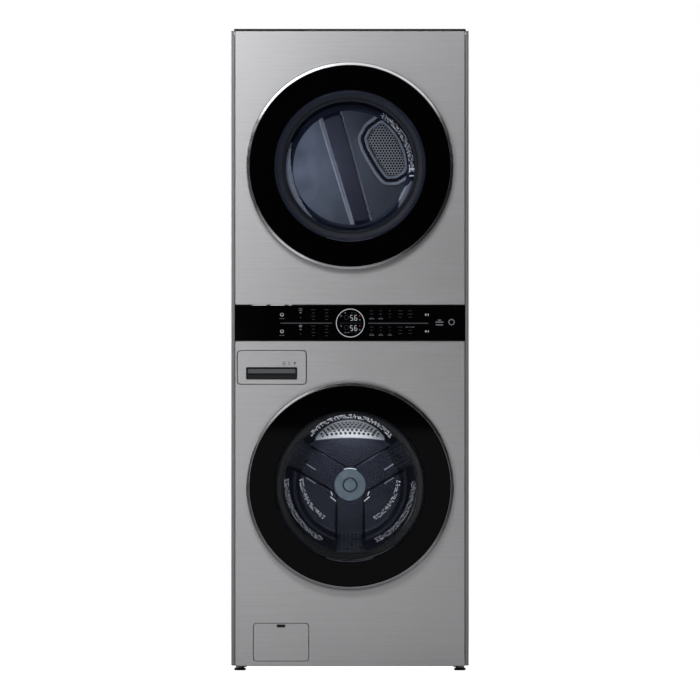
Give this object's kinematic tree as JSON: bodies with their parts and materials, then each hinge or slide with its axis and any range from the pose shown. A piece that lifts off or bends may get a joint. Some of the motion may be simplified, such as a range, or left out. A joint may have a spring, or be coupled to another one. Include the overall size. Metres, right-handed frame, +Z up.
{
  "type": "washer dryer stack",
  "caption": "Floor-standing laundry tower: front-loading washer below, dryer above, black control strip between them, round glass doors, detergent drawer and filter flap.",
  "frame": {"origin": "on the floor, at the middle of the cabinet in width and of the whole object in depth", "axes": "+Z up, front with the doors towards -Y, +X to the right when facing the front"},
  "size_m": [0.7, 0.77, 1.89],
  "materials": {
    "brushed_steel": "fine horizontal grain, satin",
    "painted_steel": "satin grey paint",
    "zinc_steel": "dull galvanised",
    "stainless": "polished, perforated",
    "chrome": "bright",
    "black_glass": "gloss, printed black towards the rim",
    "control_glass": "gloss black with faint printed symbols",
    "clear_glass": "clear, gloss",
    "black_plastic": "matt",
    "grey_plastic": "matt",
    "white_plastic": "matt",
    "black_rubber": "matt",
    "grey_rubber": "matt, moulded bellows",
    "concrete": "cast, rough",
    "cast_aluminium": "die-cast, satin",
    "copper": "varnished windings"
  },
  "bodies": {
    "cabinet": {"base_frame": "zinc_steel", "left_side_panel": "painted_steel", "right_side_panel": "painted_steel", "lower_rear_cover": "zinc_steel", "upper_rear_cover": "zinc_steel", "top_cover": "black_plastic", "middle_deck": "zinc_steel", "lower_front_panel": "brushed_steel", "upper_front_panel": "brushed_steel", "control_glass": "control_glass", "control_housing": "black_plastic", "inlet_valve": "white_plastic", "power_inlet": "black_plastic", "washer_door_hinge": "cast_aluminium", "washer_door_lock": "black_plastic", "washer_gasket": "grey_rubber", "suspension_spring_left": "zinc_steel", "suspension_spring_right": "zinc_steel", "suspension_damper_left": "zinc_steel", "suspension_damper_right": "zinc_steel", "drain_pump": "black_plastic", "dispenser_housing": "white_plastic", "dryer_door_hinge": "cast_aluminium", "dryer_front_bulkhead": "zinc_steel", "dryer_rear_bulkhead": "painted_steel", "dryer_motor": "zinc_steel", "blower_housing": "zinc_steel", "drive_belt": "black_rubber"},
    "washer_door": {"washer_door_trim": "chrome", "washer_door_glass": "black_glass", "washer_door_frame": "grey_plastic", "washer_door_bowl": "clear_glass"},
    "dryer_door": {"dryer_door_trim": "chrome", "dryer_door_glass": "black_glass", "dryer_door_frame": "grey_plastic", "dryer_door_window": "clear_glass"},
    "tub": {"washer_tub_front": "grey_plastic", "washer_tub_rear": "grey_plastic", "washer_counterweight": "concrete", "motor_stator": "copper"},
    "washer_drum": {"washer_drum": "stainless", "washer_lifter_1": "grey_plastic", "washer_lifter_2": "grey_plastic", "washer_lifter_3": "grey_plastic", "washer_spider_shaft": "cast_aluminium", "motor_rotor": "zinc_steel"},
    "dryer_drum": {"dryer_drum": "stainless"},
    "dryer_motor_shaft": {"dryer_motor_shaft": "cast_aluminium"},
    "idler": {"idler_pulley": "grey_plastic"},
    "roller_left": {"drum_roller_left": "black_rubber"},
    "roller_right": {"drum_roller_right": "black_rubber"},
    "detergent_drawer": {"drawer_front": "brushed_steel", "drawer_tray": "white_plastic"},
    "filter_flap": {"filter_flap": "brushed_steel"},
    "pump_filter": {"pump_filter": "grey_plastic"},
    "lint_filter": {"lint_filter": "grey_plastic"},
    "foot_front_left": {"foot_front_left": "black_rubber"},
    "foot_front_right": {"foot_front_right": "black_rubber"},
    "foot_rear_left": {"foot_rear_left": "black_rubber"},
    "foot_rear_right": {"foot_rear_right": "black_rubber"}
  },
  "joints": [
    {"name": "washer_door_swing", "type": "hinge", "parent": "cabinet", "child": "washer_door", "pos_m": [-0.284, -0.372, 0.543], "axis": [0, 0, -1], "range_deg": [0, 105]},
    {"name": "dryer_door_swing", "type": "hinge", "parent": "cabinet", "child": "dryer_door", "pos_m": [-0.284, -0.372, 1.486], "axis": [0, 0, -1], "range_deg": [0, 105]},
    {"name": "tub_suspension", "type": "slide", "parent": "cabinet", "child": "tub", "axis": [0, 0, 1], "range_m": [-0.01, 0.01], "stiffness_N_per_m": 15000, "springref_m": 0.02083, "deforming": ["suspension_spring_left", "suspension_spring_right", "suspension_damper_left", "suspension_damper_right", "washer_gasket"]},
    {"name": "washer_drum_spin", "type": "hinge", "parent": "tub", "child": "washer_drum", "pos_m": [0, 0, 0.543], "axis": [0, 1, 0], "continuous": true},
    {"name": "dryer_drum_spin", "type": "hinge", "parent": "cabinet", "child": "dryer_drum", "pos_m": [0, 0, 1.486], "axis": [0, 1, 0], "continuous": true},
    {"name": "dryer_motor_spin", "type": "hinge", "parent": "cabinet", "child": "dryer_motor_shaft", "pos_m": [-0.09, -0.1, 1.09], "axis": [0, 1, 0], "continuous": true},
    {"name": "idler_spin", "type": "hinge", "parent": "cabinet", "child": "idler", "pos_m": [-0.1655, -0.035, 1.1392], "axis": [0, 1, 0], "continuous": true},
    {"name": "roller_left_spin", "type": "hinge", "parent": "cabinet", "child": "roller_left", "pos_m": [-0.181, -0.226, 1.2275], "axis": [0, 1, 0], "continuous": true},
    {"name": "roller_right_spin", "type": "hinge", "parent": "cabinet", "child": "roller_right", "pos_m": [0.181, -0.226, 1.2275], "axis": [0, 1, 0], "continuous": true},
    {"name": "detergent_drawer_slide", "type": "slide", "parent": "cabinet", "child": "detergent_drawer", "axis": [0, -1, 0], "range_m": [0, 0.24]},
    {"name": "filter_flap_hinge", "type": "hinge", "parent": "cabinet", "child": "filter_flap", "pos_m": [-0.203, -0.3404, 0.0416], "axis": [1, 0, 0], "range_deg": [0, 90]},
    {"name": "pump_filter_turn", "type": "hinge", "parent": "cabinet", "child": "pump_filter", "pos_m": [-0.203, -0.29, 0.088], "axis": [0, 1, 0], "range_deg": [0, 360]},
    {"name": "lint_filter_slide", "type": "slide", "parent": "cabinet", "child": "lint_filter", "axis": [0, 0, 1], "range_m": [0, 0.16]},
    {"name": "foot_front_left_turn", "type": "hinge", "parent": "cabinet", "child": "foot_front_left", "pos_m": [-0.324, -0.298, 0.01], "axis": [0, 0, 1], "continuous": true},
    {"name": "foot_front_right_turn", "type": "hinge", "parent": "cabinet", "child": "foot_front_right", "pos_m": [0.324, -0.298, 0.01], "axis": [0, 0, 1], "continuous": true},
    {"name": "foot_rear_left_turn", "type": "hinge", "parent": "cabinet", "child": "foot_rear_left", "pos_m": [-0.324, 0.348, 0.01], "axis": [0, 0, 1], "continuous": true},
    {"name": "foot_rear_right_turn", "type": "hinge", "parent": "cabinet", "child": "foot_rear_right", "pos_m": [0.324, 0.348, 0.01], "axis": [0, 0, 1], "continuous": true}
  ],
  "couplings": [
    {"joint": "dryer_motor_spin", "follows": "dryer_drum_spin", "ratio": 23.75},
    {"joint": "idler_spin", "follows": "dryer_drum_spin", "ratio": -11.4},
    {"joint": "roller_left_spin", "follows": "dryer_drum_spin", "ratio": -9.5},
    {"joint": "roller_right_spin", "follows": "dryer_drum_spin", "ratio": -9.5}
  ]
}
